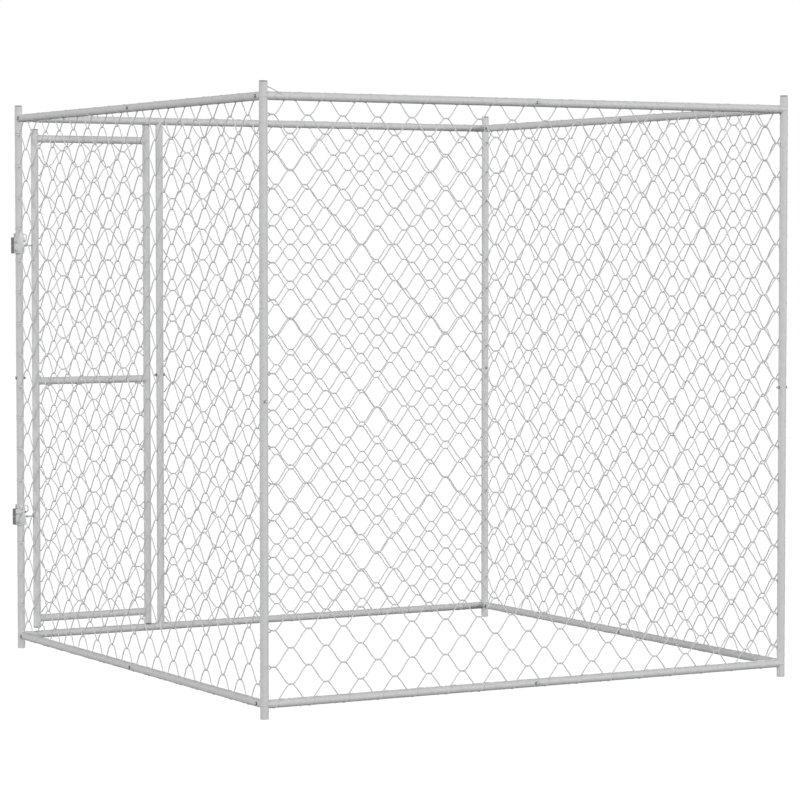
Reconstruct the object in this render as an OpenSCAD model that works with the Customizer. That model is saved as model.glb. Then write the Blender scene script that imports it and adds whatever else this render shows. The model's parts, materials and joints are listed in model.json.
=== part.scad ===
// Outdoor dog run: a square, open-topped pen of round galvanised tube with chain-link walls
// and a narrow swing gate in the back wall. Millimetres, +Z up, ground at z = 0,
// origin midway between the four corner posts. The front wall is at -Y, the gate is at +Y.

/* [Frame] */
// Distance between the corner post axes along the front and back walls
span_x = 1995; // [1500:5:3000]
// Distance between the corner post axes along the side walls
span_y = 1995; // [1500:5:3000]
// Height over the post caps
height = 2000; // [1900:5:2400]
// Outside diameter of the posts and rails
tube_d = 27; // [25:0.5:32]
// Wall thickness of every tube
tube_wall = 1.5; // [1.2:0.1:2]
// Height of the lower rail axes, and depth of the upper rail axes below the top
rail_inset = 47; // [40:1:90]

/* [Tube joints] */
// Distance from the middle of a tube to the seam of its two halves
seam_offset = 25; // [18:1:40]
// Length of the reduced end that plugs into the other half
plug_len = 50; // [45:1:80]
// Reach of the spigots that carry the rail ends, from the post axis
spigot_reach = 43; // [38:1:44]
// Distance of the rail end bolts from the post axis
end_bolt_offset = 30; // [26:1:32]
// Radial clearance of a plug or a spigot in its tube
plug_gap = 0.1; // [0.05:0.05:0.3]
// Gap between a coped tube end and the tube that it meets
cope_gap = 0.2; // [0.1:0.1:0.5]

/* [Fasteners] */
// Diameter of the frame bolts
bolt_d = 6; // [5:1:8]
// Width across the flats of bolt heads and nuts
hex_af = 10; // [8:0.5:13]
// Height of a bolt head
head_h = 4; // [3:0.5:6]
// Height of a nut
nut_h = 5; // [4:0.5:7]
// Length of thread that shows past a nut
thread_past = 6; // [1:0.5:8]
// Radial clearance of a bolt in its hole
bolt_gap = 0.3; // [0.2:0.1:0.5]
// Gap under bolt heads and nuts
seat_gap = 0.1; // [0.05:0.05:0.2]

/* [Post caps] */
// Thickness of a cap's rim
cap_rim = 3; // [2:0.5:6]
// Height of the neck under the rim
cap_neck = 1; // [0.5:0.5:2]
// Depth of a cap's plug in the tube
cap_plug = 14; // [8:1:25]

/* [Mesh] */
// Pitch of the waves along the walls
mesh_pitch = 125.3; // [90:0.1:160]
// Number of half waves between the lower and upper rail axes
mesh_rows = 33; // [21:2:45]
// Wire diameter
wire_d = 4; // [2:0.1:5]
// Gap between two neighbouring wires where they meet
wire_gap = 0.1; // [0.05:0.05:0.3]
// Height within which a row of the mesh settles on the rail beside it
row_snap = 12; // [6:1:20]
// Gap between the edge of a panel and the tube beside it
mesh_gap = 0.3; // [0.2:0.1:0.6]
// Distance of the first node from the corner post axis on the front wall
mesh_start_front = 31; // [0:1:125]
// Distance of the first node from the corner post axis on the right wall
mesh_start_right = 107; // [0:1:125]
// Distance of the first node from the corner post axis on the back wall
mesh_start_back = 121; // [0:1:125]
// Distance of the first node from the corner post axis on the left wall
mesh_start_left = 6; // [0:1:125]
// Pitch of the waves on the gate
gate_mesh_pitch = 120.3; // [90:0.1:160]
// Distance of the first node from the latch stile axis on the gate
gate_mesh_start = 52; // [0:1:120]

/* [Gate] */
// Distance between the back left post axis and the latch stile axis
latch_space = 63; // [58:1:80]
// Distance of the pivot axis from the gate post axis
pivot_offset = 54; // [50:1:80]
// Distance between the two stile axes
gate_span = 450; // [380:1:700]
// Height of the lower gate rail axis
gate_low_z = 107; // [95:1:160]
// Height of the middle gate rail axis
gate_mid_z = 987; // [900:1:1100]
// Depth of the upper gate rail axis below the top of the posts
gate_top_drop = 120; // [105:1:180]
// Overhang of the latch stile past the outer gate rails
stile_overhang = 31; // [20:1:40]
// Diameter of the pivot pins
pivot_d = 18; // [14:0.5:18]
// Radial running clearance of the pivot pins
pivot_gap = 0.05; // [0.02:0.01:0.1]
// Thickness of the flange between a stile end and the rail
pivot_flange = 3; // [2:0.5:6]
// Depth of the pivot plugs in the hinge stile
pivot_plug = 30; // [20:1:50]
// Running gap between a pivot flange and the rail
pivot_lift = 0.3; // [0.2:0.1:0.6]

/* [Latches] */
// Height of the lower latch
latch_low_z = 495; // [400:1:700]
// Depth of the upper latch below the top of the posts
latch_top_drop = 505; // [400:1:700]
// Thickness of the clamp sheet
clamp_t = 2.5; // [2:0.5:4]
// Height of the clamp plates below the latch centre
clamp_below = 37; // [32:1:50]
// Height of the clamp plates above the latch centre
clamp_above = 37; // [32:1:50]
// Height of the clamp ears above the latch centre
ear_above = 22; // [18:1:30]
// Reach of the clamp ears from the post axis, away from the gate
ear_reach = 26; // [25:0.5:34]
// Reach of the clamp plates from the post axis, towards the gate
plate_reach = 11.5; // [9:0.5:16]
// Height of the strap that joins the two clamp plates
strap_h = 23; // [16:1:28]
// Distance of the clamp bolts from the post axis
clamp_bolt_x = 20; // [19:0.5:24]
// Height of the upper clamp bolt above the latch centre
clamp_bolt_up = 4; // [3:0.5:8]
// Height of the lower clamp bolt below the latch centre
clamp_bolt_down = 26; // [22:0.5:30]
// Diameter of the clamp bolts
clamp_bolt_d = 5; // [4:0.5:6]
// Length of thread that shows past a clamp nut
clamp_thread_past = 3; // [1:0.5:6]
// Width across the flats of the clamp bolts
clamp_af = 8; // [7:0.5:10]
// Diameter of the sliding bolt
slide_d = 6; // [5:0.5:8]
// Height of the sliding bolt below the latch centre
slide_drop = 8; // [6:0.5:10]
// Travel of the sliding bolt into the latch stile
slide_travel = 11; // [8:0.5:11.5]
// Gap between the drawn-back bolt and the latch stile
slide_short = 1.5; // [1:0.5:3]
// Radial running clearance of the sliding bolt
slide_gap = 0.1; // [0.05:0.01:0.1]
// Radial clearance of the sliding bolt in the stile and in the spacer
keeper_gap = 0.6; // [0.4:0.1:1]
// Diameter of the thumb knob
knob_d = 9; // [8:0.5:12]
// Length of the thumb knob
knob_len = 4; // [3:0.5:6]
// Distance of the thumb knob from the post axis
knob_x = 22; // [20:0.5:26]
// Wire diameter of the padlock loop
loop_d = 3.5; // [3:0.5:5]
// Reach of the padlock loop from the post axis
loop_reach = 29; // [25:0.5:34]
// Height of the lower leg of the padlock loop above the latch centre
loop_low = 9; // [7:0.5:12]
// Height of the upper leg of the padlock loop above the latch centre
loop_high = 33; // [26:0.5:36]
// Bend radius of the padlock loop
loop_bend = 5; // [3:0.5:8]
// Diameter of the collar on the lower leg of the padlock loop
collar_d = 8; // [6:0.5:10]
// Length of the collar on the lower leg of the padlock loop
collar_len = 7; // [4:0.5:8]

/* [Hidden] */
$fn = 64;
tube_r = tube_d / 2;
bore_r = tube_r - tube_wall;
plug_r = bore_r - plug_gap;
plug_bore = plug_r - tube_wall;
rail_z = [rail_inset, height - rail_inset];
mid_z = height / 2;
tube_top = height - cap_rim - cap_neck;
spans = [span_x, span_y, span_x, span_y];
corner_at = [[-1, -1], [1, -1], [1, 1], [-1, 1]];
corner_names = ["front_left", "front_right", "back_right", "back_left"];
wall_names = ["front", "right", "back", "left"];
level_names = ["lower", "upper"];
end_names = [["left", "right"], ["front", "back"], ["right", "left"], ["back", "front"]];
gate_wall = 2;
side_walls = [1, 3];
latch_corner = 3;
mesh_starts = [mesh_start_front, mesh_start_right, mesh_start_back, mesh_start_left];
half_row = (rail_z[1] - rail_z[0]) / mesh_rows;
gate_bay = latch_space + gate_span + pivot_offset;
latch_x = -span_x / 2 + latch_space;
hinge_x = latch_x + gate_span;
gate_post_u = span_x - gate_bay;
gate_y = span_y / 2;
gate_rail_z = [gate_low_z, gate_mid_z, height - gate_top_drop];
pivot_foot = rail_z[0] + tube_r + pivot_lift;
pivot_head = rail_z[1] - tube_r - pivot_lift;
pivot_tip = sqrt(pow(bore_r, 2) - pow(pivot_d / 2, 2)) - 1;
latch_z = [latch_low_z, height - latch_top_drop];
clamp_in = tube_r + cope_gap;
clamp_out = clamp_in + clamp_t;
slide_tip = latch_space - tube_r - slide_short;
steel = [0.76, 0.77, 0.78];
zinc = [0.66, 0.67, 0.69];
grey_cap = [0.6, 0.61, 0.62];
dark = [0.25, 0.26, 0.27];

// Stands at corner k: the wall that starts there runs along +X, and -Y points out of the pen
module at_corner(k) {
  translate([corner_at[k][0] * span_x / 2, corner_at[k][1] * span_y / 2, 0]) rotate(90 * k) children();
}

// Stands on the gate post axis
module at_gate_post() {
  at_corner(gate_wall) translate([gate_post_u, 0, 0]) children();
}

// Lays a shape that stands on +Z down along +X
module along_x() {
  rotate([0, 90, 0]) children();
}

// Lays a shape that stands on +Z down along +Y
module along_y() {
  rotate([-90, 0, 0]) children();
}

// Plain tube from z = a to z = b
module tube(a, b) {
  translate([0, 0, a]) difference() {
    cylinder(r = tube_r, h = b - a);
    translate([0, 0, -1]) cylinder(r = bore_r, h = b - a + 2);
  }
}

// Half tube from z = a to its seam at z = b, with the reduced end that enters the other half
module plug_tube(a, b) {
  difference() {
    union() {
      translate([0, 0, a]) cylinder(r = tube_r, h = b - a);
      translate([0, 0, b - 1]) cylinder(r = plug_r, h = plug_len + 1);
    }
    translate([0, 0, a - 1]) cylinder(r = bore_r, h = b - a + 1 - 2 * tube_wall);
    translate([0, 0, a]) cylinder(r = plug_bore, h = b - a + plug_len + 1);
  }
}

// Round hole on the local Y axis through a whole tube
module cross_hole(d) {
  along_y() translate([0, 0, -tube_d]) cylinder(d = d, h = 2 * tube_d);
}

module bolt_hole() {
  cross_hole(bolt_d + 2 * bolt_gap);
}

// Space taken by a tube on the Z axis, for coping the end of another tube
module cope() {
  translate([0, 0, -2 * tube_d]) cylinder(r = tube_r + cope_gap, h = 4 * tube_d);
}

// Space past the 45 degree plane between two tubes that leave a corner along +X and +Y
module mitre() {
  linear_extrude(2 * tube_d, center = true)
    polygon([[0, -cope_gap], [2 * tube_d, 2 * tube_d - cope_gap], [0, 2 * tube_d]]);
}

// Hexagon bolt through a tube along Y, head at -Y
module hex_bolt() {
  reach = tube_r + seat_gap;
  color(zinc) along_y() union() {
    translate([0, 0, -reach - head_h]) cylinder(d = hex_af / cos(30), h = head_h, $fn = 6);
    translate([0, 0, -reach - 1]) cylinder(d = bolt_d, h = 2 * reach + nut_h + thread_past + 1);
  }
}

module hex_nut() {
  color(zinc) along_y() translate([0, 0, tube_r + seat_gap]) difference() {
    cylinder(d = hex_af / cos(30), h = nut_h, $fn = 6);
    translate([0, 0, -1]) cylinder(r = bolt_d / 2 + plug_gap, h = nut_h + 2);
  }
}

// Places of the post joint bolts
module at_post_joints() {
  for (k = [0:3]) at_corner(k) translate([0, 0, mid_z]) children();
  at_gate_post() translate([0, 0, mid_z]) rotate(-90) children();
}

// Places of the rail joint bolts, at the middle of every rail
module at_rail_joints() {
  for (k = [0:3]) for (z = rail_z) at_corner(k) translate([spans[k] / 2, 0, z]) children();
}

// Places of the rail end bolts, on the two side walls
module at_rail_ends() {
  for (k = side_walls) for (z = rail_z) for (u = [end_bolt_offset, spans[k] - end_bolt_offset])
    at_corner(k) translate([u, 0, z]) children();
}

// Hole for the sliding bolt of each latch, along the gate's wall
module slide_holes() {
  for (z = latch_z) translate([0, 0, z - slide_drop]) cross_hole(slide_d + 2 * slide_gap);
}

module post_lower(k) {
  color(steel) at_corner(k) difference() {
    plug_tube(0, mid_z - seam_offset);
    translate([0, 0, mid_z]) bolt_hole();
    if (k == latch_corner) slide_holes();
  }
}

module post_upper(k) {
  color(steel) at_corner(k) difference() {
    tube(mid_z - seam_offset, tube_top);
    translate([0, 0, mid_z]) bolt_hole();
    if (k == latch_corner) slide_holes();
  }
}

// Cuts the ends and the hole that both halves of the gate post share
module gate_post_cuts() {
  for (z = rail_z) translate([0, 0, z]) along_x() cope();
  translate([0, 0, mid_z]) rotate(-90) bolt_hole();
}

module gate_post_lower() {
  color(steel) at_gate_post() difference() {
    plug_tube(rail_z[0], mid_z - seam_offset);
    gate_post_cuts();
  }
}

module gate_post_upper() {
  color(steel) at_gate_post() difference() {
    tube(mid_z - seam_offset, rail_z[1]);
    gate_post_cuts();
  }
}

// Bores of the two pivot positions in a gate wall rail, on the side that faces the gate
module pivot_holes(up) {
  for (u = [gate_post_u + pivot_offset, span_x - pivot_offset])
    translate([u, 0, up ? 0 : -tube_d]) cylinder(r = pivot_d / 2 + pivot_gap, h = tube_d);
}

// One half of the rail of wall k at level v; end 0 starts at corner k, end 1 at the next corner
module rail_half(k, v, end) {
  seam = spans[k] / 2 - seam_offset;
  color(steel) at_corner(k) translate([0, 0, rail_z[v]]) difference() {
    along_x() if (end == 0) plug_tube(0, seam); else tube(seam, spans[k]);
    translate([end == 0 ? 0 : spans[k], 0, 0]) mirror([end, 0, 0]) {
      cope();
      mitre();
      if (k % 2 == 1) translate([end_bolt_offset, 0, 0]) bolt_hole();
    }
    translate([spans[k] / 2, 0, 0]) bolt_hole();
    if (k == gate_wall) pivot_holes(v == 0);
  }
}

// Short tube along +X that is welded to the tube on the Z axis and carries the end of another one
module spigot() {
  difference() {
    along_x() cylinder(r = plug_r, h = spigot_reach);
    along_x() translate([0, 0, -1]) cylinder(r = plug_bore, h = spigot_reach + 2);
    cope();
  }
}

// Spigot of a rail, with a bolt hole on the side walls; the other rail of the corner is at +Y
module rail_spigot(bolted) {
  difference() {
    spigot();
    mitre();
    if (bolted) translate([end_bolt_offset, 0, 0]) bolt_hole();
  }
}

module rail_spigots() {
  color(steel) {
    for (k = [0:3]) for (z = rail_z) at_corner(k) translate([0, 0, z]) {
      rail_spigot(k % 2 == 1);
      rotate(90) mirror([0, 1, 0]) rail_spigot(k % 2 == 0);
    }
    at_gate_post() {
      translate([0, 0, rail_z[0]]) rotate([0, -90, 0]) spigot();
      translate([0, 0, rail_z[1]]) rotate([0, 90, 0]) spigot();
    }
  }
}

// Plug with a rim for an upright tube end at z = 0
module cap() {
  color(grey_cap) union() {
    translate([0, 0, -cap_plug]) cylinder(r = plug_r, h = cap_plug + cap_neck + 1);
    cylinder(r = (bore_r + tube_r) / 2, h = cap_neck + 1);
    translate([0, 0, cap_neck]) cylinder(r = tube_r, h = cap_rim);
  }
}

module post_caps() {
  for (k = [0:3]) at_corner(k) translate([0, 0, tube_top]) cap();
}

module post_joint_bolts() {
  at_post_joints() hex_bolt();
}

module post_joint_nuts() {
  at_post_joints() hex_nut();
}

module rail_joint_bolts() {
  at_rail_joints() hex_bolt();
}

module rail_joint_nuts() {
  at_rail_joints() hex_nut();
}

module rail_end_bolts() {
  at_rail_ends() hex_bolt();
}

module rail_end_nuts() {
  at_rail_ends() hex_nut();
}

// Part of polygon p where side * p[axis] is at least side * limit
function cut(p, axis, side, limit) = [
  for (i = [0:1:len(p) - 1])
    let (a = p[i], b = p[(i + 1) % len(p)], da = side * (a[axis] - limit), db = side * (b[axis] - limit))
      each concat(da >= 0 ? [a] : [], da * db < 0 ? [a + (b - a) * da / (da - db)] : [])];

// Height of a row of the mesh, kept between lo and hi
function row_z(row, lo, hi) =
  let (z = rail_z[0] + half_row * row) z < lo + row_snap ? lo : z > hi - row_snap ? hi : z;

// One wire: a wave from u = from to u = to, low at start + pitch * i and high halfway between
function wave(from, to, lo, hi, pitch, start) =
  let (half = wire_d / 2 / cos(atan2(hi - lo, pitch / 2)),
       inset = half + wire_gap / 2,
       first = 2 * floor((from - start) / pitch),
       last = 2 * ceil((to - start) / pitch),
       line = [for (i = [first:last]) [start + pitch / 2 * i, i % 2 == 0 ? lo + inset : hi - inset]],
       strip = [for (p = line) p - [0, half], for (i = [len(line) - 1:-1:0]) line[i] + [0, half]])
    cut(cut(strip, 0, 1, from), 0, -1, to);

// Chain-link panel in the XZ plane. Each stop is [lowest, highest, u]: the wires between
// these heights start at u (near stops) or end at u (far stops)
module panel(lo, hi, pitch, start, near_stops = [], far_stops = []) {
  for (row = [0:mesh_rows - 1]) {
    z0 = row_z(row, lo[1], hi[1]);
    z1 = row_z(row + 1, lo[1], hi[1]);
    from = max([lo[0], for (s = near_stops) if (z0 < s[1] && z1 > s[0]) s[2]]);
    to = min([hi[0], for (s = far_stops) if (z0 < s[1] && z1 > s[0]) s[2]]);
    if (z1 > z0) rotate([90, 0, 0]) linear_extrude(wire_d, center = true)
      polygon(wave(from, to, z0, z1, pitch, start + (row % 2 == 0 ? 0 : pitch / 2)));
  }
}

module wall_mesh(k) {
  edge = tube_r + mesh_gap;
  far = k == gate_wall ? gate_post_u : spans[k];
  bolt_end = tube_r + seat_gap + nut_h + thread_past + mesh_gap;
  clamps = [for (z = latch_z) [z - clamp_below, z + clamp_above, clamp_out + mesh_gap]];
  color(zinc) at_corner(k)
    panel([edge, rail_z[0] + edge], [far - edge, rail_z[1] - edge], mesh_pitch, mesh_starts[k],
      k == latch_corner ? clamps : [], [[mid_z - hex_af, mid_z + hex_af, far - bolt_end]]);
}

module at_stile(x) {
  translate([x, gate_y, 0]) children();
}

module gate_hinge_stile() {
  color(steel) at_stile(hinge_x) tube(pivot_foot + pivot_flange, pivot_head - pivot_flange);
}

module gate_latch_stile() {
  color(steel) at_stile(latch_x) difference() {
    tube(gate_rail_z[0] - stile_overhang, gate_rail_z[2] + stile_overhang);
    for (z = latch_z) translate([0, 0, z - slide_drop]) along_x()
      translate([0, 0, -tube_d]) cylinder(d = slide_d + 2 * keeper_gap, h = tube_d);
  }
}

module gate_rail(i) {
  color(steel) at_stile(latch_x) translate([0, 0, gate_rail_z[i]]) difference() {
    along_x() tube(0, gate_span);
    cope();
    translate([gate_span, 0, 0]) cope();
  }
}

module gate_mesh() {
  edge = tube_r + mesh_gap;
  color(zinc) at_stile(latch_x) for (i = [0, 1])
    panel([edge, gate_rail_z[i] + edge], [gate_span - edge, gate_rail_z[i + 1] - edge],
      gate_mesh_pitch, gate_mesh_start);
}

module gate_stile_caps() {
  at_stile(latch_x) {
    translate([0, 0, gate_rail_z[2] + stile_overhang]) cap();
    translate([0, 0, gate_rail_z[0] - stile_overhang]) mirror([0, 0, 1]) cap();
  }
}

// Stile plug, flange and pin; the pin points down from the flange at z = 0
module pivot(drop) {
  color(zinc) union() {
    translate([0, 0, pivot_flange - 1]) cylinder(r = plug_r, h = pivot_plug + 1);
    cylinder(r = tube_r, h = pivot_flange);
    translate([0, 0, -drop]) cylinder(d = pivot_d, h = drop + 1);
  }
}

module gate_lower_pivot() {
  at_stile(hinge_x) translate([0, 0, pivot_foot]) pivot(tube_r + pivot_lift + pivot_tip);
}

module gate_upper_pivot() {
  at_stile(hinge_x) translate([0, 0, pivot_head]) mirror([0, 0, 1]) pivot(tube_r + pivot_lift + pivot_tip);
}

// Stands on the latch post axis at the centre of latch v, +X towards the gate
module at_latch(v) {
  translate([-span_x / 2, gate_y, latch_z[v]]) children();
}

// Outline of one clamp plate
module clamp_outline() {
  polygon([[-ear_reach, -clamp_below], [clamp_out, -clamp_below], [clamp_out, strap_h - clamp_below],
    [plate_reach, strap_h - clamp_below], [plate_reach, clamp_above], [-tube_r - 2, clamp_above],
    [-tube_r - 2, ear_above], [-ear_reach, ear_above]]);
}

module at_clamp_bolts() {
  for (z = [clamp_bolt_up, -clamp_bolt_down]) translate([-clamp_bolt_x, 0, z]) children();
}

// Two plates and a strap, folded from one sheet around the post
module latch_clamp(v) {
  color(steel) at_latch(v) difference() {
    union() {
      for (side = [0, 1]) mirror([0, side, 0])
        translate([0, clamp_out, 0]) rotate([90, 0, 0]) linear_extrude(clamp_t) clamp_outline();
      translate([clamp_in, -clamp_out, -clamp_below]) cube([clamp_t, 2 * clamp_out, strap_h]);
    }
    at_clamp_bolts() cross_hole(clamp_bolt_d + 2 * bolt_gap);
  }
}

// Sliding bolt with its thumb knob, drawn back
module latch_bolt(v) {
  color(zinc) at_latch(v) translate([0, 0, -slide_drop]) along_x() union() {
    translate([0, 0, -ear_reach]) cylinder(d = slide_d, h = ear_reach + slide_tip);
    translate([0, 0, knob_x]) cylinder(d = knob_d, h = knob_len);
  }
}

// Block between the clamp ears, hollowed to the post and grooved for the clamp bolts
module latch_spacers() {
  wide = 2 * (clamp_in - cope_gap);
  color(dark) for (v = [0, 1]) at_latch(v) difference() {
    translate([-ear_reach, -wide / 2, -clamp_below]) cube([ear_reach, wide, clamp_below + ear_above]);
    translate([0, 0, -clamp_below]) cope();
    translate([0, 0, clamp_below]) cope();
    at_clamp_bolts() cross_hole(clamp_bolt_d + 2 * bolt_gap);
    translate([0, 0, -slide_drop]) along_x()
      translate([0, 0, -2 * ear_reach]) cylinder(d = slide_d + 2 * keeper_gap, h = 2 * ear_reach);
  }
}

// Bent wire loop on the gate side of the post
module latch_loops() {
  bend = loop_bend + loop_d / 2;
  root = tube_r + cope_gap;
  color(zinc) for (v = [0, 1]) at_latch(v) union() {
    for (z = [loop_low, loop_high])
      translate([root, 0, z]) along_x() cylinder(d = loop_d, h = loop_reach - bend - root);
    translate([loop_reach, 0, loop_low + bend]) cylinder(d = loop_d, h = loop_high - loop_low - 2 * bend);
    translate([loop_reach - bend, 0, loop_high - bend]) rotate([90, 0, 0])
      rotate_extrude(angle = 90) translate([bend, 0]) circle(d = loop_d);
    translate([loop_reach - bend, 0, loop_low + bend]) rotate([90, 0, 0])
      rotate_extrude(angle = -90) translate([bend, 0]) circle(d = loop_d);
  }
}

// Collar on the lower leg of each loop
module loop_collars() {
  color(dark) for (v = [0, 1]) at_latch(v) translate([tube_r + 2 * cope_gap, 0, loop_low]) along_x() difference() {
    cylinder(d = collar_d, h = collar_len);
    translate([0, 0, -1]) cylinder(d = loop_d + 2 * plug_gap, h = collar_len + 2);
  }
}

module latch_clamp_bolts() {
  seat = clamp_out + seat_gap;
  color(zinc) for (v = [0, 1]) at_latch(v) at_clamp_bolts() along_y() union() {
    translate([0, 0, -seat - head_h]) cylinder(d = clamp_af / cos(30), h = head_h, $fn = 6);
    translate([0, 0, -seat - 1]) cylinder(d = clamp_bolt_d, h = 2 * seat + nut_h + clamp_thread_past + 1);
  }
}

module latch_clamp_nuts() {
  color(zinc) for (v = [0, 1]) at_latch(v) at_clamp_bolts() along_y()
    translate([0, 0, clamp_out + seat_gap]) difference() {
      cylinder(d = clamp_af / cos(30), h = nut_h, $fn = 6);
      translate([0, 0, -1]) cylinder(r = clamp_bolt_d / 2 + plug_gap, h = nut_h + 2);
    }
}

for (k = [0:3]) {
  post_lower(k);
  post_upper(k);
}
gate_post_lower();
gate_post_upper();
for (k = [0:3]) for (v = [0, 1]) for (e = [0, 1]) {
  name = str(wall_names[k], "_", level_names[v], "_rail_", end_names[k][e]);
  rail_half(k, v, e);
}
for (k = [0:3]) wall_mesh(k);
rail_spigots();
post_caps();
post_joint_bolts();
post_joint_nuts();
rail_joint_bolts();
rail_joint_nuts();
rail_end_bolts();
rail_end_nuts();
gate_hinge_stile();
gate_latch_stile();
gate_rail(0);  // gate_lower_rail
gate_rail(1);  // gate_middle_rail
gate_rail(2);  // gate_upper_rail
gate_mesh();
gate_stile_caps();
gate_lower_pivot();
gate_upper_pivot();
for (v = [0, 1]) {
  latch_clamp(v);
  latch_bolt(v);
}
latch_spacers();
latch_loops();
loop_collars();
latch_clamp_bolts();
latch_clamp_nuts();
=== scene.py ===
import json
import math

import bmesh
import bpy
from mathutils import Matrix, Vector


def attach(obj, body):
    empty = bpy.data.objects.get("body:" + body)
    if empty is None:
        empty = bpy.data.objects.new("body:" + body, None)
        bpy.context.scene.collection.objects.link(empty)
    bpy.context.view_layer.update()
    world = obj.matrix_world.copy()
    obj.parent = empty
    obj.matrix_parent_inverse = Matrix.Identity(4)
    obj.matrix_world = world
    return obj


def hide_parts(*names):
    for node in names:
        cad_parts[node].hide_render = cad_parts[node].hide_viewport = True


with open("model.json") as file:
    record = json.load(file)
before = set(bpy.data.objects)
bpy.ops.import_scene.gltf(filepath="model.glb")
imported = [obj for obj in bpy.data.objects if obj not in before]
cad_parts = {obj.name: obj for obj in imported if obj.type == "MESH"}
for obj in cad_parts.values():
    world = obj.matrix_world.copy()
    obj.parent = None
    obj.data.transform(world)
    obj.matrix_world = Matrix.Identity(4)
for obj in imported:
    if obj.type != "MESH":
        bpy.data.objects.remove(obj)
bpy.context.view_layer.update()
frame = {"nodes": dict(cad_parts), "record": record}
nodes = frame["nodes"]
scene = bpy.context.scene
scene.view_settings.view_transform = "Standard"
print("frame loaded with", len(nodes), "nodes")

# sizes of the run that the looks share with the solids, in metres
run = {"span": 1.995, "height": 2.0, "tube": 0.027, "railInset": 0.047, "railEndBolt": 0.030,
       "gateLine": 0.9975, "latchStile": -0.9345, "hingeStile": -0.4845, "gatePost": -0.4305,
       "gateRails": (0.107, 0.987, 1.88), "stilePast": 0.031, "latches": (0.495, 1.495)}
tubeRadius = run["tube"] / 2
railHeights = (run["railInset"], run["height"] - run["railInset"])
midHeight = run["height"] / 2
half = run["span"] / 2
cornerPoints = ((-half, -half), (half, -half), (half, half), (-half, half))


def moved(x, y, z):
    return Matrix.Translation((x, y, z))


def turned(degrees, axis):
    return Matrix.Rotation(math.radians(degrees), 4, axis)


def cornerFrame(k):  # wall k runs along local +X from corner k, and local -Y points out of the pen
    return moved(*cornerPoints[k], 0) @ turned(90 * k, "Z")


def onCircle(radius, degrees):
    angle = math.radians(degrees)
    return radius * math.cos(angle), radius * math.sin(angle)


def addObject(name, data):
    thing = bpy.data.objects.new(name, data)
    scene.collection.objects.link(thing)
    return thing


# camera at the photograph's viewing angle
cameraView = {"place": (-5.3726, -9.6778, 1.4853), "yaw": 29.2587, "pitch": -2.8345,
              "lens": 139.95, "sensor": 36}
cameraData = bpy.data.cameras.new("runCamera")
cameraData.lens = cameraView["lens"]
cameraData.sensor_width = cameraView["sensor"]
camera = addObject("runCamera", cameraData)
camera.location = cameraView["place"]
camera.rotation_euler = (math.radians(90 + cameraView["pitch"]), 0,
                         math.radians(-cameraView["yaw"]))
scene.camera = camera

# soft even lamps, low above the horizon: in front on the right, on the left and behind
lampDistance = 12
lamps = {"front": {"heading": (0.64, -0.77), "rise": 7, "power": 2.15, "spread": 18},
         "left": {"heading": (-0.937, -0.35), "rise": 12, "power": 2.15, "spread": 18},
         "behind": {"heading": (0.66, 0.75), "rise": 16, "power": 2.3, "spread": 18}}
for lampName, lamp in lamps.items():
    lampData = bpy.data.lights.new(lampName + "Lamp", "SUN")
    lampData.energy = lamp["power"]
    lampData.angle = math.radians(lamp["spread"])
    lampObject = addObject(lampName + "Lamp", lampData)
    level = Vector((*lamp["heading"], 0)).normalized()
    rise = lampDistance * math.tan(math.radians(lamp["rise"]))
    lampObject.location = level * lampDistance + Vector((0, 0, rise))
    lampObject.rotation_euler = (-lampObject.location).to_track_quat("-Z", "Y").to_euler()


def newMaterial(name):
    material = bpy.data.materials.new(name)
    material.use_nodes = True
    tree = material.node_tree
    tree.nodes.clear()
    return material, tree, tree.nodes.new("ShaderNodeOutputMaterial").inputs["Surface"]


def setInputs(node, values):
    for label, value in values.items():
        node.inputs[label].default_value = value


def mathStep(tree, operation, *feeds):  # each feed is a socket or a plain value
    step = tree.nodes.new("ShaderNodeMath")
    step.operation = operation
    for entry, feed in zip(step.inputs, feeds):
        if isinstance(feed, (int, float)):
            entry.default_value = feed
        else:
            tree.links.new(feed, entry)
    return step.outputs[0]


def scaledColour(tree, colour, level):
    step = tree.nodes.new("ShaderNodeVectorMath")
    step.operation = "SCALE"
    tree.links.new(colour, step.inputs[0])
    tree.links.new(level, step.inputs["Scale"])
    return step.outputs[0]


def seenDirectly(tree):  # camera, glossy and transmission rays
    rays = tree.nodes.new("ShaderNodeLightPath").outputs
    first = mathStep(tree, "MAXIMUM", rays["Is Camera Ray"], rays["Is Glossy Ray"])
    return mathStep(tree, "MAXIMUM", first, rays["Is Transmission Ray"])


# white studio: the world reads white, and lights the run at a lower level
studio = {"white": (1, 1, 1, 1), "ambient": 0.24, "backdrop": 1,
          "floorColour": (0.08, 0.08, 0.08, 1), "floorGlow": 0.97, "floorSize": 60}
world = bpy.data.worlds.new("studioWorld")
world.use_nodes = True
worldTree = world.node_tree
worldTree.nodes.clear()
worldOut = worldTree.nodes.new("ShaderNodeOutputWorld")
worldMix = worldTree.nodes.new("ShaderNodeMixShader")
worldTree.links.new(seenDirectly(worldTree), worldMix.inputs["Fac"])
for entry, strength in ((1, studio["ambient"]), (2, studio["backdrop"])):
    glow = worldTree.nodes.new("ShaderNodeBackground")
    setInputs(glow, {"Color": studio["white"], "Strength": strength})
    worldTree.links.new(glow.outputs[0], worldMix.inputs[entry])
worldTree.links.new(worldMix.outputs[0], worldOut.inputs["Surface"])
scene.world = world

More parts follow.
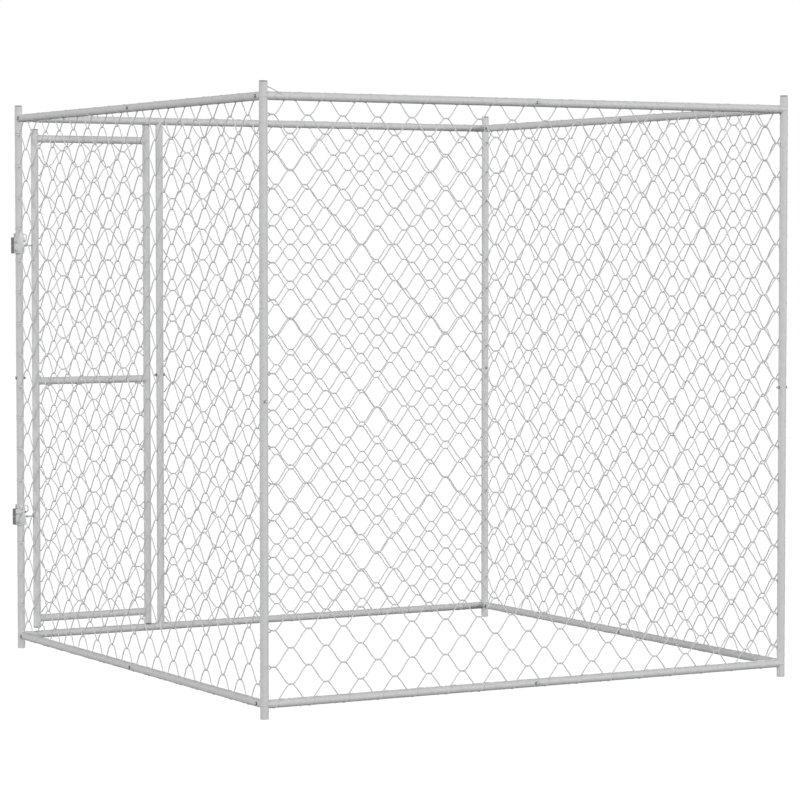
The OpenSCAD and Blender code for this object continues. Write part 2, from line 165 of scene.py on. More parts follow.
floorMaterial, floorTree, floorSurface = newMaterial("studioFloor")
floorSum = floorTree.nodes.new("ShaderNodeAddShader")
floorDiffuse = floorTree.nodes.new("ShaderNodeBsdfDiffuse")
floorDiffuse.inputs["Color"].default_value = studio["floorColour"]
floorGlow = floorTree.nodes.new("ShaderNodeEmission")
glowLevel = mathStep(floorTree, "MULTIPLY", seenDirectly(floorTree), studio["floorGlow"])
floorTree.links.new(glowLevel, floorGlow.inputs["Strength"])
floorTree.links.new(floorDiffuse.outputs[0], floorSum.inputs[0])
floorTree.links.new(floorGlow.outputs[0], floorSum.inputs[1])
floorTree.links.new(floorSum.outputs[0], floorSurface)
floorShape = bmesh.new()
bmesh.ops.create_grid(floorShape, x_segments=1, y_segments=1, size=studio["floorSize"] / 2)
floorMesh = bpy.data.meshes.new("studioFloor")
floorShape.to_mesh(floorMesh)
floorShape.free()
floorMesh.materials.append(floorMaterial)
floor = addObject("studioFloor", floorMesh)
print("camera, lamps and floor set")


# zinc skin: crystal spangle, cloudy patches and a fine tooth
skinGrain = {"cloudDetail": 5, "cloudRoughness": 0.62, "toothScale": 900, "toothDetail": 3,
             "spangleHeight": 0.4}
bumpDepth = 0.0003


def makeZincSkin(look):
    group = bpy.data.node_groups.new("zincSkin", "ShaderNodeTree")
    feeds = ("Colour", "Spangle Scale", "Spangle Depth", "Cloud Scale", "Cloud Depth", "Roughness")
    for direction, labels in (("INPUT", feeds), ("OUTPUT", ("Colour", "Roughness", "Height"))):
        for label in labels:
            kind = "NodeSocketColor" if label == "Colour" else "NodeSocketFloat"
            group.interface.new_socket(name=label, in_out=direction, socket_type=kind)
    make, join = group.nodes.new, group.links.new
    fed, out = make("NodeGroupInput").outputs, make("NodeGroupOutput").inputs
    where = make("ShaderNodeTexCoord").outputs["Object"]
    spangle = make("ShaderNodeTexVoronoi")
    spangle.feature = "F1"
    join(where, spangle.inputs["Vector"])
    join(fed["Spangle Scale"], spangle.inputs["Scale"])
    flake = make("ShaderNodeSeparateColor")  # each crystal keeps one random tone
    join(spangle.outputs["Color"], flake.inputs["Color"])
    cloud = make("ShaderNodeTexNoise")
    setInputs(cloud, {"Detail": look["cloudDetail"], "Roughness": look["cloudRoughness"]})
    join(where, cloud.inputs["Vector"])
    join(fed["Cloud Scale"], cloud.inputs["Scale"])
    tooth = make("ShaderNodeTexNoise")
    setInputs(tooth, {"Scale": look["toothScale"], "Detail": look["toothDetail"]})
    join(where, tooth.inputs["Vector"])

    def about(source, depth):  # 1 + (source - 0.5) * depth
        centred = mathStep(group, "SUBTRACT", source, 0.5)
        return mathStep(group, "MULTIPLY_ADD", centred, depth, 1)

    tone = mathStep(group, "MULTIPLY", about(flake.outputs["Red"], fed["Spangle Depth"]),
                    about(cloud.outputs["Fac"], fed["Cloud Depth"]))
    join(scaledColour(group, fed["Colour"], tone), out["Colour"])
    gloss = mathStep(group, "MULTIPLY", fed["Roughness"],
                     about(flake.outputs["Green"], fed["Spangle Depth"]))
    join(gloss, out["Roughness"])
    height = mathStep(group, "MULTIPLY_ADD", spangle.outputs["Distance"], look["spangleHeight"],
                      tooth.outputs["Fac"])
    join(height, out["Height"])
    return group


zincSkin = makeZincSkin(skinGrain)


def surfaceMaterial(name):
    material, tree, out = newMaterial(name)
    surface = tree.nodes.new("ShaderNodeBsdfPrincipled")
    tree.links.new(surface.outputs[0], out)
    return material, tree, surface


def addBump(tree, surface, height, strength):
    bump = tree.nodes.new("ShaderNodeBump")
    setInputs(bump, {"Strength": strength, "Distance": bumpDepth})
    tree.links.new(height, bump.inputs["Height"])
    tree.links.new(bump.outputs["Normal"], surface.inputs["Normal"])


def zincMaterial(name, look):
    material, tree, surface = surfaceMaterial(name)
    skin = tree.nodes.new("ShaderNodeGroup")
    skin.node_tree = zincSkin
    setInputs(skin, {"Colour": look["colour"], "Roughness": look["roughness"],
                     "Spangle Scale": look["spangleScale"], "Spangle Depth": look["spangleDepth"],
                     "Cloud Scale": look["cloudScale"], "Cloud Depth": look["cloudDepth"]})
    setInputs(surface, {"Metallic": look["metallic"], "Specular IOR Level": look["specular"]})
    colour = skin.outputs["Colour"]
    if "paintedLitGain" in look:  # painted light: faces marked by the pattern's own attribute are lit brighter, the others keep the dark colour as painted shade
        paintedLitFace = tree.nodes.new("ShaderNodeAttribute")
        paintedLitFace.attribute_name = "paintedLitFace"
        paintedLitScale = tree.nodes.new("ShaderNodeMapRange")
        setInputs(paintedLitScale, {"To Min": 1, "To Max": look["paintedLitGain"]})
        tree.links.new(paintedLitFace.outputs["Fac"], paintedLitScale.inputs["Value"])
        colour = scaledColour(tree, colour, paintedLitScale.outputs["Result"])
    tree.links.new(colour, surface.inputs["Base Color"])
    tree.links.new(skin.outputs["Roughness"], surface.inputs["Roughness"])
    addBump(tree, surface, skin.outputs["Height"], look["bump"])
    return material


tubeLook = {"colour": (0.6, 0.602, 0.604, 1), "spangleScale": 95, "spangleDepth": 0.07,
            "cloudScale": 8, "cloudDepth": 0.06, "roughness": 0.6, "metallic": 0.04,
            "specular": 0.1, "bump": 0.06}
wireLook = {"colour": (0.63, 0.632, 0.634, 1), "spangleScale": 260, "spangleDepth": 0.05,
            "cloudScale": 14, "cloudDepth": 0.1, "roughness": 0.6, "metallic": 0.04,
            "specular": 0.1, "bump": 0.08}
sheetLook = {"colour": (0.64, 0.642, 0.645, 1), "spangleScale": 130, "spangleDepth": 0.1,
             "cloudScale": 20, "cloudDepth": 0.08, "roughness": 0.55, "metallic": 0.04,
             "specular": 0.12, "bump": 0.1}
# bolts: the dark colour is painted shade on the hex sides; flat ends and thread get painted light
# up to 3.1 times brighter
boltLook = {"colour": (0.18, 0.182, 0.186, 1), "spangleScale": 420, "spangleDepth": 0.06,
            "cloudScale": 60, "cloudDepth": 0.18, "roughness": 0.6, "metallic": 0.02,
            "specular": 0.08, "bump": 0.06, "paintedLitGain": 3.1}


def mouldedPlastic(name, look):
    material, tree, surface = surfaceMaterial(name)
    grain = tree.nodes.new("ShaderNodeTexNoise")
    setInputs(grain, {"Scale": look["grainScale"], "Detail": look["grainDetail"]})
    where = tree.nodes.new("ShaderNodeTexCoord")
    tree.links.new(where.outputs["Object"], grain.inputs["Vector"])
    ramp = tree.nodes.new("ShaderNodeValToRGB")
    for i, (position, colour) in enumerate(look["ramp"]):
        ramp.color_ramp.elements[i].position = position
        ramp.color_ramp.elements[i].color = colour
    tree.links.new(grain.outputs["Fac"], ramp.inputs["Fac"])
    tree.links.new(ramp.outputs["Color"], surface.inputs["Base Color"])
    setInputs(surface, {"Roughness": look["roughness"], "Specular IOR Level": look["specular"]})
    addBump(tree, surface, grain.outputs["Fac"], look["bump"])
    return material


capLook = {"ramp": ((0.3, (0.25, 0.254, 0.258, 1)), (0.7, (0.3, 0.304, 0.308, 1))),
           "grainScale": 700, "grainDetail": 4, "roughness": 0.5, "specular": 0.3, "bump": 0.1}
# dark ring at the foot of each padlock loop: painted shade
footShadeLook = {"ramp": ((0.3, (0.12, 0.12, 0.125, 1)), (0.7, (0.18, 0.18, 0.185, 1))),
              "grainScale": 500, "grainDetail": 4, "roughness": 0.6, "specular": 0.3, "bump": 0.1}
finishes = {"galvanised_tube": zincMaterial("tubeZinc", tubeLook),
            "galvanised_wire": zincMaterial("wireZinc", wireLook),
            "galvanised_sheet": zincMaterial("sheetZinc", sheetLook),
            "zinc_hardware": zincMaterial("boltZinc", boltLook),
            "grey_cap": mouldedPlastic("capPlastic", capLook),
            "dark_filler": mouldedPlastic("footShadePlastic", footShadeLook)}
for part in frame["record"]["subparts"]:
    solid = nodes[part["node"]].data
    solid.materials.clear()
    solid.materials.append(finishes[part["material_slot"]])
print("finishes on the tubes:", len(finishes))


def addPiece(name, data, body, slot, replaced=()):
    data.materials.append(finishes[slot])
    piece = addObject(name, data)
    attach(piece, body)
    if replaced:
        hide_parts(*replaced)


def meshFrom(name, shape):
    bmesh.ops.recalc_face_normals(shape, faces=shape.faces)
    data = bpy.data.meshes.new(name)
    shape.to_mesh(data)
    shape.free()
    return data


def copiesOf(name, pattern, places):
    whole = bmesh.new()
    for place in places:
        before = len(whole.verts)
        whole.from_mesh(pattern)
        whole.verts.ensure_lookup_table()
        bmesh.ops.transform(whole, matrix=place, verts=whole.verts[before:])
    return meshFrom(name, whole)


def smoothBelow(data, degrees):
    for polygon in data.polygons:
        polygon.use_smooth = True
    data.set_sharp_from_angle(angle=math.radians(degrees))
    return data


# edges that bend by more than this many degrees stay sharp
sharpFrom = {"turned": 35, "pressed": 40}


def addCopies(name, pattern, places, kind, body, slot, replaced):
    data = smoothBelow(copiesOf(name, pattern, places), sharpFrom[kind])
    addPiece(name, data, body, slot, (replaced,))


def wireCurve(name, lines, radius, sides=1, closed=False):
    data = bpy.data.curves.new(name, "CURVE")
    data.dimensions = "3D"
    data.bevel_depth = radius
    data.bevel_resolution = sides
    data.use_fill_caps = True
    for line in lines:
        spline = data.splines.new("POLY")
        spline.points.add(len(line) - 1)
        for point, place in zip(spline.points, line):
            point.co = (*place, 1)
        spline.use_smooth = True
        spline.use_cyclic_u = closed
    return data


# chain-link: waves run along the wall and hook into each other, / legs outside and \ legs inside
link = {"wire": 0.004, "pitch": 0.1253, "rows": 33, "swing": 0.0024, "nest": 0.0009,
        "starts": (0.031, 0.107, 0.121, 0.006), "wrap": 0.020, "wrapStep": 24, "hugSink": 0.0023,
        "railSteps": (-0.0115, -0.006, 0.0, 0.006, 0.0115), "railClear": 1.02,
        "endGap": 0.0045, "clampStop": 0.0172, "boltStop": 0.0275,
        "gatePitch": 0.1203, "gateStart": 0.052, "gateRows": (1, 31), "gateMidRow": 16}
# half a bend in millimetres: along the wave, down from the crest, and the share of the swing
halfBend = ((22, -16.2, 1.0), (16, -9.2, 1.0), (12, -4.9, 0.9), (9.5, -2.6, 0.75),
            (7, -0.9, 0.55), (4, -0.2, 0.3))
# wire ends on the posts, which stay clear of the bolts and the latch clamps
wireTail = {"sink": 0.0006, "slope": 0.3, "leastRun": 0.002, "arc": range(30, 151, 12),
            "lead": 0.4, "lowest": 0.008, "topGap": 0.012, "boltClear": 0.010, "clampClear": 0.040}
lace = {"lead": 0.035, "sink": 0.0028, "steps": 14, "endGap": 0.03,
        "cornerArc": range(128, 323, 15), "cornerRise": 0.004, "cornerLag": 0.8}
wireRadius = link["wire"] / 2
hugRadius = tubeRadius + wireRadius - link["hugSink"]  # wire centre line on a tube, drawn tight
laceRadius = tubeRadius + wireRadius - lace["sink"]
tailRadius = tubeRadius - wireTail["sink"]
rowStep = (railHeights[1] - railHeights[0]) / link["rows"]


def rowHeight(row):
    return railHeights[0] + rowStep * row


def bend(u, z, up):  # wire turns over from the outside to the inside at a crest, back at a trough
    sign = 1 if up else -1
    shape = [(-a, b, -c) for a, b, c in halfBend] + [(0, 0, 0)] + list(reversed(halfBend))
    return [(u + a / 1000, -sign * c * link["swing"], z + sign * (b / 1000 + link["nest"]))
            for a, b, c in shape]


def hug(u, axisZ, up):  # at a rail the turn becomes a full wrap, from the mesh side and back to it
    sign = 1 if up else -1
    path = []
    for t in range(0, 361, link["wrapStep"]):
        rise, out = onCircle(hugRadius, t)
        path.append((u + link["wrap"] * (t - 180) / 180, sign * out, axisZ - sign * rise))
    return path


def pastRail(a, b, axisZ):  # leg between two turns goes round a rail that lies between its ends
    side = -1 if (b[0] - a[0]) * (b[2] - a[2]) < 0 else 1
    path = []
    for dz in link["railSteps"]:
        t = (axisZ + dz - a[2]) / (b[2] - a[2])
        out = side * math.sqrt(hugRadius ** 2 - dz ** 2) * link["railClear"]
        path.append((a[0] + (b[0] - a[0]) * t, out, axisZ + dz))
    return path if b[2] > a[2] else path[::-1]


def between(a, b, t):
    return tuple(p + (q - p) * t for p, q in zip(a, b))


def clipStart(path, u):  # drops what lies before u
    for i, point in enumerate(path):
        if point[0] >= u:
            if i == 0:
                return path
            a = path[i - 1]
            return [between(a, point, (u - a[0]) / (point[0] - a[0]))] + path[i:]
    return []


def mirrored(path, length):
    return [(length - u, n, z) for u, n, z in reversed(path)]


def tail(first, second, blocked, side):  # end winds round the post at u = 0, outside 1, inside -1
    steep = wireTail["slope"]
    fall = steep * (first[2] - second[2]) / max(second[0] - first[0], wireTail["leastRun"])
    slope = max(-steep, min(steep, fall))
    ring = []
    for t in wireTail["arc"]:
        a = math.radians(t)
        z = first[2] + slope * tailRadius * (a - wireTail["lead"])
        z = max(wireTail["lowest"], min(run["height"] - wireTail["topGap"], z))
        ring.append((tailRadius * math.cos(a), side * tailRadius * math.sin(a), z))
    if any(low < point[2] < high for low, high in blocked for point in ring):
        return []
    return ring[::-1]


def waveLine(row, pitch, start, length, rails, ends, side):  # a rail at 0 isn't there
    lowRail, highRail, midRail = rails
    firstTrough = start + (pitch / 2 if row % 2 else 0)
    first = 2 * math.floor(-firstTrough / pitch) - 2
    last = 2 * math.ceil((length - firstTrough) / pitch) + 2
    path = []
    for i in range(first, last + 1):
        u = firstTrough + pitch / 2 * i
        up = i % 2 == 1
        rail = highRail if up else lowRail
        turn = hug(u, rail, up) if rail else bend(u, rowHeight(row + 1 if up else row), up)
        if midRail and path:
            path += pastRail(path[-1], turn[0], midRail)
        path += turn
    for stop, blocked in ends:  # near end, then the far end as a near end, mirrored
        path = clipStart(path, stop)
        path = tail(path[0], path[1], blocked, side) + path
        path = mirrored(path, length)
    return path


def laceLine(start, axisZ):  # one turn of lacing wire for each wave: top, outside, below, inside
    path = []
    steps = int(run["span"] / link["pitch"] * lace["steps"])
    for i in range(steps + 1):
        u = lace["endGap"] + (run["span"] - 2 * lace["endGap"]) * i / steps
        turn = 2 * math.pi * (u - start - lace["lead"]) / link["pitch"]
        path.append((u, laceRadius * math.sin(turn), axisZ + laceRadius * math.cos(turn)))
    return path


def cornerTurn(axisZ):  # lacing wire goes on round the outside of a corner post to the next rail
    turn = [math.radians(a) for a in lace["cornerArc"]]
    return [(laceRadius * math.cos(a), -laceRadius * math.sin(a),
             axisZ + lace["cornerRise"] * math.cos(a - lace["cornerLag"])) for a in turn]


def inFrame(place, path):
    return [place @ Vector((u, -n, z)) for u, n, z in path]


# loose wire end that runs from the post down to the front rail
looseEnd = [(0.0135, 0.002, 1.981), (0.022, 0.006, 1.9775), (0.034, 0.0095, 1.9715),
            (0.046, 0.0118, 1.9645), (0.058, 0.0142, 1.956)]
clampSpans = [(z - wireTail["clampClear"], z + wireTail["clampClear"]) for z in run["latches"]]
boltSpan = [(midHeight - wireTail["boltClear"], midHeight + wireTail["boltClear"])]
endStop = tubeRadius + link["endGap"]
laces = []
for k, wallName in enumerate(("front", "right", "back", "left")):
    place = cornerFrame(k)
    length = half - run["gatePost"] if wallName == "back" else run["span"]
    latched = wallName == "left"  # latches on this wall's near post
    lines = []
    for row in range(link["rows"]):
        low, high = rowHeight(row), rowHeight(row + 1)
        nearStop = farStop = endStop
        if latched and any(low < b and high > a for a, b in clampSpans):
            nearStop = link["clampStop"]
        if latched and low < midHeight < high:
            farStop = link["boltStop"]  # clear of the near post's bolt
        rails = (railHeights[0] if row == 0 else 0,
                 railHeights[1] if row == link["rows"] - 1 else 0, 0)
        ends = ((nearStop, boltSpan + (clampSpans if latched else [])), (farStop, boltSpan))
        path = waveLine(row, link["pitch"], link["starts"][k], length, rails, ends,
                        -1 if wallName == "front" else 1)
        lines.append(inFrame(place, path))
    for axisZ in railHeights:
        start = link["starts"][k] + (link["pitch"] / 2 if axisZ > midHeight else 0)
        laces.append(inFrame(place, cornerTurn(axisZ)))
        laces.append(inFrame(place, laceLine(start, axisZ)))
    if wallName == "front":
        lines.append(inFrame(place, looseEnd))
    addPiece(wallName + "Chain", wireCurve(wallName + "Chain", lines, wireRadius), "kennel",
             "galvanised_wire", (wallName + "_mesh",))

addPiece("railLacing", wireCurve("railLacing", laces, wireRadius), "kennel", "galvanised_tube")
gatePlace = moved(run["hingeStile"], run["gateLine"], 0) @ turned(180, "Z")
gateLength = run["hingeStile"] - run["latchStile"]
firstRow, lastRow = link["gateRows"]
lines = []
for row in range(firstRow, lastRow + 1):
    rails = (run["gateRails"][0] if row == firstRow else 0,
             run["gateRails"][2] if row == lastRow else 0,
             run["gateRails"][1] if row == link["gateMidRow"] else 0)
    path = waveLine(row, link["gatePitch"], gateLength - link["gateStart"], gateLength, rails,
                    ((endStop, []), (endStop, [])), 1)
    lines.append(inFrame(gatePlace, path))
addPiece("gateChain", wireCurve("gateChain", lines, wireRadius), "gate", "galvanised_wire",
         ("gate_mesh",))
print("chain-link wired on four walls and the gate")


# hexagon bolts and nuts of the tube joints
# the sides of these bolts and nuts keep all of their painted shade
frameBolt = {"flats": 0.010, "head": 0.004, "nut": 0.005, "shank": 0.006, "past": 0.006,
             "gap": 0.0001, "paintedSideLit": 0}
# chamfers as shares of the head's height, the nut's height and the shank's width
chamfer = {"head": 0.2, "nut": 0.15, "nutFoot": 0.12, "tip": 0.12}
flatEnd = 0.95  # upright part of a flat end's normal


def bevelEdges(shape, edges, offset, segments):
    bmesh.ops.bevel(shape, geom=edges, offset=offset, offset_type="OFFSET", affect="EDGES",
                    segments=segments, profile=0.5, material=-1)


def edgesWhere(shape, test):  # edges whose two ends both pass
    return [e for e in shape.edges if all(test(v) for v in e.verts)]


def hexBlank(flats, height, rimChamfer):  # stands on z = 0, chamfered on its free end
    shape = bmesh.new()
    radius = flats / 2 / math.cos(math.radians(30))
    bmesh.ops.create_cone(shape, cap_ends=True, segments=6, radius1=radius, radius2=radius,
                          depth=height, matrix=moved(0, 0, height / 2))
    bevelEdges(shape, edgesWhere(shape, lambda v: v.co.z > height / 2), rimChamfer, 2)
    return shape


def paintLitFaces(shape, above, paintedSideLit):  # painted light on the flat ends and the thread above, painted shade on the hex sides
    mark = shape.faces.layers.float.new("paintedLitFace")
    for face in shape.faces:
        face.normal_update()
        onThread = max(v.co.z for v in face.verts) > above
        face[mark] = 1.0 if onThread or abs(face.normal.z) > flatEnd else paintedSideLit


def boltPattern(look, reach):  # head at -Z below -reach, shank up to the thread's end
    shape = hexBlank(look["flats"], look["head"], look["head"] * chamfer["head"])
    bmesh.ops.transform(shape, matrix=moved(0, 0, -reach) @ turned(180, "X"), verts=shape.verts)
    end = reach + look["nut"] + look["past"]
    radius = look["shank"] / 2
    shank = bmesh.ops.create_cone(shape, cap_ends=True, segments=16, radius1=radius,
                                  radius2=radius, depth=end + reach,
                                  matrix=moved(0, 0, (end - reach) / 2))["verts"]
    tip = edgesWhere(shape, lambda v: v in shank and v.co.z > reach)
    bevelEdges(shape, tip, look["shank"] * chamfer["tip"], 2)
    paintLitFaces(shape, reach, look["paintedSideLit"])
    return meshFrom("boltPattern", shape)


def nutPattern(look, reach):  # chamfered both sides, on the shank
    shape = hexBlank(look["flats"], look["nut"], look["nut"] * chamfer["nut"])
    foot = edgesWhere(shape, lambda v: v.co.z < look["nut"] / 2)
    bevelEdges(shape, foot, look["nut"] * chamfer["nutFoot"], 1)
    bmesh.ops.transform(shape, matrix=moved(0, 0, reach), verts=shape.verts)
    paintLitFaces(shape, reach + look["nut"], look["paintedSideLit"])
    return meshFrom("nutPattern", shape)


alongY = turned(-90, "X")
gatePostFrame = cornerFrame(2) @ moved(half - run["gatePost"], 0, 0)
postJoints = [cornerFrame(k) @ moved(0, 0, midHeight) @ alongY for k in range(4)]
postJoints.append(gatePostFrame @ moved(0, 0, midHeight) @ turned(-90, "Z") @ alongY)
railJoints = [cornerFrame(k) @ moved(half, 0, z) @ alongY for k in range(4) for z in railHeights]
railEnds = [cornerFrame(k) @ moved(u, 0, z) @ alongY for k in (1, 3) for z in railHeights
            for u in (run["railEndBolt"], run["span"] - run["railEndBolt"])]
seat = tubeRadius + frameBolt["gap"]
bolt, nut = boltPattern(frameBolt, seat), nutPattern(frameBolt, seat)
for stem, label, places in (("postJoint", "post_joint", postJoints),
                            ("railJoint", "rail_joint", railJoints),
                            ("railEnd", "rail_end", railEnds)):
    addCopies(stem + "Bolts", bolt, places, "turned", "kennel", "zinc_hardware", label + "_bolts")
    addCopies(stem + "Nuts", nut, places, "turned", "kennel", "zinc_hardware", label + "_nuts")
print("bolts and nuts in", len(postJoints) + len(railJoints) + len(railEnds), "places")


# caps: rounded rim over a narrow neck, with a plug in the tube
tubeCap = {"rim": 0.003, "neck": 0.001, "plug": 0.014, "plugRadius": 0.0119, "plugChamfer": 0.001,
           "neckRadius": 0.0112, "neckStart": 0.0001, "lip": 0.0002, "lipChamfer": 0.0003,
           "round": 0.0009, "roundSteps": (0, 22, 45, 67), "flat": 0.55, "steps": 40}
mergeGap = 0.00002


def spun(profile, steps, closed=False):  # points of radius and height, turned round Z
    shape = bmesh.new()
    points = [shape.verts.new((x, 0, z)) for x, z in profile]
    ends = points[1:] + (points[:1] if closed else [])
    edges = [shape.edges.new(pair) for pair in zip(points, ends)]
    bmesh.ops.spin(shape, geom=points + edges, cent=(0, 0, 0), axis=(0, 0, 1), angle=2 * math.pi,
                   steps=steps, use_merge=True)
    bmesh.ops.remove_doubles(shape, verts=shape.verts, dist=mergeGap)
    return shape


def capPattern(look):
    top, r, edge = look["neck"] + look["rim"], look["round"], tubeRadius
    plug, plugEnd, under = look["plugRadius"], -look["plug"], look["neck"] + look["lip"]
    profile = [(0, plugEnd), (plug - look["plugChamfer"], plugEnd),
               (plug, plugEnd + look["plugChamfer"]), (plug, 0),
               (look["neckRadius"], look["neckStart"]), (look["neckRadius"], under),
               (edge - look["lipChamfer"], under), (edge, under + look["lipChamfer"])]
    arc = [onCircle(r, a) for a in look["roundSteps"]]
    profile += [(edge - r + x, top - r + z) for x, z in arc]
    profile += [(edge * look["flat"], top), (0, top)]
    return meshFrom("capPattern", spun(profile, look["steps"]))


cap = capPattern(tubeCap)
capSeat = run["height"] - tubeCap["rim"] - tubeCap["neck"]
postTops = [cornerFrame(k) @ moved(0, 0, capSeat) for k in range(4)]
addCopies("postCaps", cap, postTops, "pressed", "kennel", "grey_cap", "post_caps")
stileHigh = run["gateRails"][2] + run["stilePast"]
stileLow = run["gateRails"][0] - run["stilePast"]
stileEnds = (moved(run["latchStile"], run["gateLine"], stileHigh),
             moved(run["latchStile"], run["gateLine"], stileLow) @ turned(180, "X"))
addCopies("stileCaps", cap, stileEnds, "pressed", "gate", "grey_cap", "gate_stile_caps")


# weld beads where the gate's rails meet its stiles
weld = {"radius": 0.0021, "ripples": 26, "ripple": 0.0004, "wave": (1, -0.5, -0.5), "out": 0.0006}


def beadLine(at, direction):  # saddle where a rail along +-X meets an upright tube
    points = []
    wave = weld["wave"] * weld["ripples"]
    for i, share in enumerate(wave):
        angle = 2 * math.pi * i / len(wave)
        radius = tubeRadius + weld["ripple"] * share
        y, z = radius * math.sin(angle), radius * math.cos(angle)
        x = math.sqrt(max(tubeRadius ** 2 - min(abs(y), tubeRadius) ** 2, 0)) + weld["out"]
        points.append(Vector((at[0] + direction * x, at[1] + y, at[2] + z)))
    return points


beads = [beadLine((x, run["gateLine"], z), direction) for z in run["gateRails"]
         for x, direction in ((run["latchStile"], 1), (run["hingeStile"], -1))]
addPiece("gateWelds", wireCurve("gateWelds", beads, weld["radius"], 1, True), "gate",
         "galvanised_tube")
print("caps and welds on")


# latch clamp: two plates with ears and a strap, folded round the post
latch = {"sheet": 0.0025, "inside": 0.0137, "below": 0.037, "above": 0.037, "ear": 0.022,
         "earReach": 0.026, "plateReach": 0.0115, "neckX": -0.0155, "round": 0.0007,
         "strap": 0.023, "strapBend": 0.004, "strapSteps": (0, 22, 45, 67, 90),
         "strapOverlap": 0.001, "boltX": -0.020, "boltUp": 0.004, "boltDown": 0.026}
latchFrames = [moved(-half, run["gateLine"], z) for z in run["latches"]]
latchLabels = ("lower", "upper")


def ofKind(geom, kind):
    return [g for g in geom if isinstance(g, kind)]


def clampPattern(look):
    vert, face = bmesh.types.BMVert, bmesh.types.BMFace
    outer = look["inside"] + look["sheet"]
    ear, plate, neck = -look["earReach"], look["plateReach"], look["neckX"]
    outline = [(ear, -look["below"]), (plate, -look["below"]), (plate, look["above"]),
               (neck, look["above"]), (neck, look["ear"]), (ear, look["ear"])]
    shape = bmesh.new()
    for y in (-outer, look["inside"]):  # two flat plates
        side = shape.faces.new([shape.verts.new((x, y, z)) for x, z in outline])
        push = bmesh.ops.extrude_face_region(shape, geom=[side])["geom"]
        bmesh.ops.translate(shape, vec=(0, look["sheet"], 0), verts=ofKind(push, vert))
    bevelEdges(shape, [e for e in shape.edges if e.calc_face_angle(0) > 1], look["round"], 2)
    middle = look["inside"] + look["sheet"] / 2  # strap bent round the gate side
    bendAt = middle - look["strapBend"]
    line = [(plate - look["strapOverlap"], -middle)]
    for x, y in (onCircle(look["strapBend"], a) for a in look["strapSteps"]):
        line.append((bendAt + y, -bendAt - x))
    line += [(x, -y) for x, y in reversed(line)]
    points = [shape.verts.new((x, y, -look["below"])) for x, y in line]
    edges = [shape.edges.new(pair) for pair in zip(points, points[1:])]
    lift = bmesh.ops.extrude_edge_only(shape, edges=edges)["geom"]
    bmesh.ops.translate(shape, vec=(0, 0, look["strap"]), verts=ofKind(lift, vert))
    faces = ofKind(lift, face)
    bmesh.ops.recalc_face_normals(shape, faces=faces)
    thick = bmesh.ops.solidify(shape, geom=faces, thickness=look["sheet"])["geom"]
    strap = set(points) | {v for f in faces for v in f.verts} | set(ofKind(thick, vert))
    shift = outer - max(v.co.x for v in strap)
    bmesh.ops.translate(shape, vec=(shift, 0, 0), verts=list(strap))
    return meshFrom("clampPattern", shape)


clamp = clampPattern(latch)
for label, place in zip(latchLabels, latchFrames):
    addCopies(label + "LatchClamp", clamp, [place], "pressed", "kennel", "galvanised_sheet",
              label + "_latch_clamp")

# the sides of the clamp bolts and nuts get part of the painted light, the rest is painted shade
clampBolt = {"flats": 0.008, "head": 0.004, "nut": 0.005, "shank": 0.005, "past": 0.003,
             "gap": 0.0001, "paintedSideLit": 0.45}
clampSeat = latch["inside"] + latch["sheet"] + clampBolt["gap"]
clampPlaces = [place @ moved(latch["boltX"], 0, z) @ alongY for place in latchFrames
               for z in (latch["boltUp"], -latch["boltDown"])]
for stem, label, pattern in (("clampBolts", "latch_clamp_bolts", boltPattern),
                             ("clampNuts", "latch_clamp_nuts", nutPattern)):
    addCopies(stem, pattern(clampBolt, clampSeat), clampPlaces, "turned", "kennel",
              "zinc_hardware", label)

# sliding bolt, drawn back at rest
slide = {"rod": 0.006, "drop": 0.008, "start": -0.026, "tip": 0.048, "chamfer": 0.0006,
         "tipRound": ((1, 0.002), (0.85, 0.0008), (0.5, 0), (0, 0)), "knobX": 0.022,
         "knob": 0.009, "knobLength": 0.004, "groove": (0.0015, 0.002, 0.0025),
         "grooveDepth": 0.0004, "steps": 28}


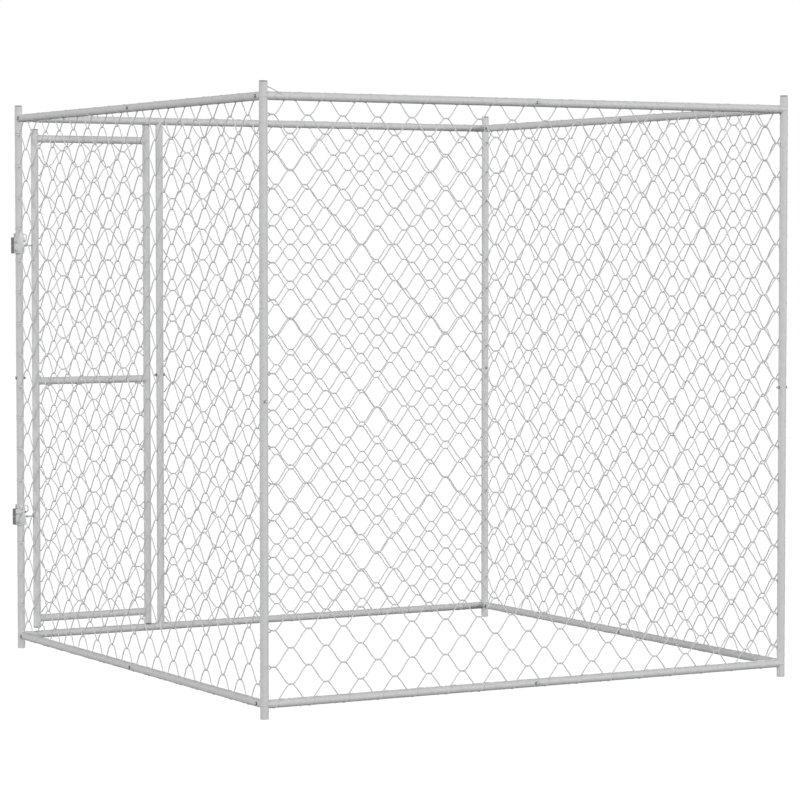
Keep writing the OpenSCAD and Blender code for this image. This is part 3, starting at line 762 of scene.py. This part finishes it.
def slidePattern(look):  # rod with a chamfered tail, a rounded tip and a turned thumb knob
    r, knobR, cut, start = look["rod"] / 2, look["knob"] / 2, look["chamfer"], look["start"]
    a, b = look["knobX"], look["knobX"] + look["knobLength"]
    near, deep, far = (a + x for x in look["groove"])
    profile = [(0, start), (r - cut, start), (r, start + cut), (r, a), (knobR - cut, a),
               (knobR, a + cut), (knobR, near), (knobR - look["grooveDepth"], deep),
               (knobR, far), (knobR, b - cut), (knobR - cut, b), (r, b)]
    profile += [(r * share, look["tip"] - back) for share, back in look["tipRound"]]
    shape = spun(profile, look["steps"])
    bmesh.ops.transform(shape, matrix=moved(0, 0, -look["drop"]) @ turned(90, "Y"),
                        verts=shape.verts)
    return meshFrom("slidePattern", shape)


slideRod = slidePattern(slide)
for label, place in zip(latchLabels, latchFrames):
    addCopies(label + "SlideBolt", slideRod, [place], "turned", label + "_latch",
              "galvanised_tube", label + "_latch_bolt")

# wire loop on the post above each sliding bolt
loop = {"wire": 0.0035, "reach": 0.029, "low": 0.009, "high": 0.033, "bend": 0.00675}


def loopLine(look):  # bent wire with both feet on the post
    r, x, low, high = look["bend"], look["reach"], look["low"], look["high"]
    path = [(tubeRadius, 0, low), (x - r, 0, low)]
    for c, s in (onCircle(r, a) for a in range(15, 91, 15)):
        path.append((x - r + s, 0, low + r - c))
    for c, s in (onCircle(r, a) for a in range(0, 91, 15)):
        path.append((x - r + c, 0, high - r + s))
    return path + [(tubeRadius, 0, high)]


loops = [[place @ Vector(p) for p in loopLine(loop)] for place in latchFrames]
addPiece("padlockLoops", wireCurve("padlockLoops", loops, loop["wire"] / 2, 2), "kennel",
         "galvanised_wire", ("latch_loops",))

# dark ring on each loop's lower leg, standing for the shade at the loop's foot
footShade = {"width": 0.008, "start": 0.0139, "length": 0.007, "gap": 0.0001,
          "round": ((0.0008, 0), (0.0002, 0.0003), (0, 0.0009)), "steps": 24}


def footShadePattern(look):  # painted shade: dark ring with rounded ends on the loop's lower leg, where the loop's foot is in shade
    r, bore, end = look["width"] / 2, loop["wire"] / 2 + look["gap"], look["length"]
    profile = [(bore, 0)] + [(r - a, b) for a, b in look["round"]]
    profile += [(r - a, end - b) for a, b in reversed(look["round"])] + [(bore, end)]
    shape = spun(profile, look["steps"], True)
    bmesh.ops.transform(shape, matrix=moved(look["start"], 0, loop["low"]) @ turned(90, "Y"),
                        verts=shape.verts)
    return meshFrom("footShadePattern", shape)


addCopies("loopFootShades", footShadePattern(footShade), latchFrames, "turned", "kennel", "dark_filler",
          "loop_collars")
print("latches fitted")
